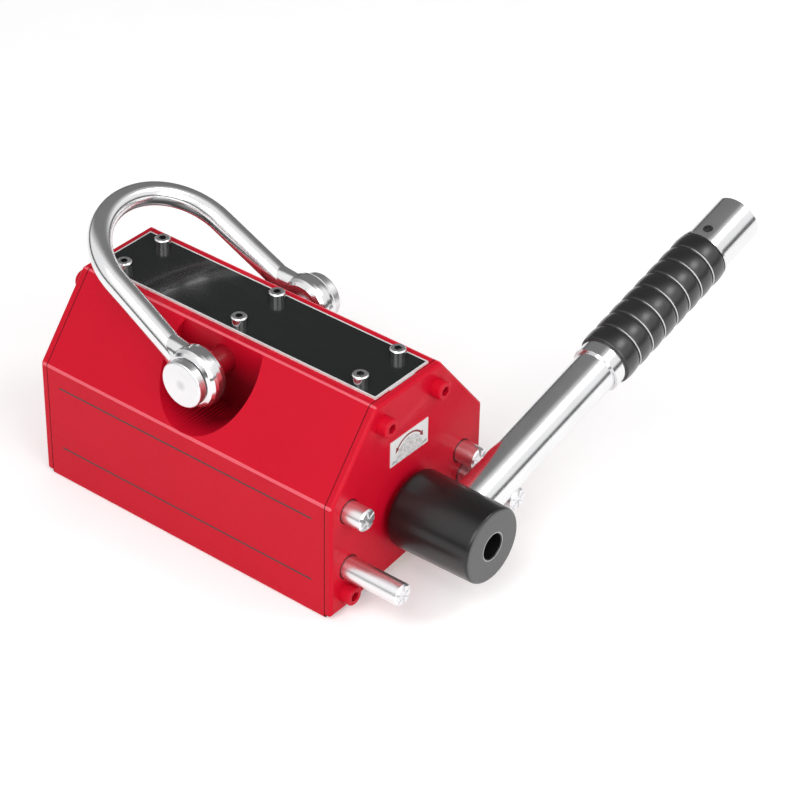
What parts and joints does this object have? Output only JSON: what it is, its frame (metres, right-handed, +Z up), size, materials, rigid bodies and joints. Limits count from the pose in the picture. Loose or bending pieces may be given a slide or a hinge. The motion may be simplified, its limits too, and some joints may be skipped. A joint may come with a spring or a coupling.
{
  "type": "permanent lifting magnet",
  "caption": "Permanent lifting magnet: steel body with a shallow V work face, a turning lever with a sliding grip sleeve and stop pins, and a swinging lifting shackle.",
  "frame": {"origin": "middle of the work face, on the plane of the feet, on the centre line of the V", "axes": "+X out of the lever end along the rotor's axis, +Y to the side the lever points to at OFF, +Z up, away from the work"},
  "size_m": [0.2115, 0.2552, 0.1245],
  "materials": {
    "red_paint": "gloss red enamel",
    "black_plate": "gloss black enamel",
    "hub_black": "satin black",
    "bright_screw": "bright zinc screws",
    "black_oxide": "black oxide screws",
    "red_screw": "painted over in red",
    "chrome_plate": "bright chrome plate",
    "steel": "turned or ground steel",
    "magnet": "nickel-plated magnet",
    "brass": "plain brass",
    "grip_rubber": "moulded black rubber",
    "label_metal": "anodised label with printed marks"
  },
  "bodies": {
    "body": {"pole_shoe_left": "red_paint", "pole_shoe_right": "red_paint", "lower_strip": "brass", "upper_strip": "brass", "fixed_magnet_rear": "magnet", "fixed_magnet_middle": "magnet", "fixed_magnet_front": "magnet", "filler_block": "steel", "top_plate": "black_plate", "top_plate_screws": "bright_screw", "front_cover": "red_paint", "rear_cover": "red_paint", "front_cover_screws": "red_screw", "rear_cover_screws": "red_screw", "front_bush": "brass", "rear_bush": "brass", "long_stop_pin_on": "chrome_plate", "long_stop_pin_off": "chrome_plate", "short_stop_pin_on": "chrome_plate", "short_stop_pin_off": "chrome_plate", "position_label": "label_metal", "shackle_pin": "chrome_plate", "shackle_pin_cap": "chrome_plate"},
    "rotor": {"rotor_segment_left": "steel", "rotor_segment_right": "steel", "rotor_magnet_rear": "magnet", "rotor_magnet_middle": "magnet", "rotor_magnet_front": "magnet", "rotor_strip_upper": "brass", "rotor_strip_lower": "brass", "front_shaft": "steel", "rear_shaft": "steel", "front_flange_screws": "black_oxide", "rear_flange_screws": "black_oxide", "hub": "hub_black", "hub_key": "steel", "hub_screw": "black_oxide", "lever_tube": "chrome_plate", "rod_guide": "brass", "return_spring": "steel"},
    "sleeve": {"sleeve_tube": "chrome_plate", "grip": "grip_rubber", "grip_ring": "chrome_plate", "lock_rod": "steel", "cross_screw": "chrome_plate"},
    "shackle": {"shackle": "chrome_plate"}
  },
  "joints": [
    {"name": "lever_turn", "type": "hinge", "parent": "body", "child": "rotor", "pos_m": [0.104, 0, 0.032], "axis": [1, 0, 0], "range_deg": [0, 157.5]},
    {"name": "sleeve_slide", "type": "slide", "parent": "rotor", "child": "sleeve", "axis": [0, 0.9686, 0.2487], "range_m": [0, 0.01], "stiffness_N_per_m": 600, "springref_m": -0.01, "deforming": ["return_spring"]},
    {"name": "shackle_swing", "type": "hinge", "parent": "body", "child": "shackle", "pos_m": [0, 0, 0.081], "axis": [0, 1, 0], "range_deg": [-7, 131]}
  ]
}
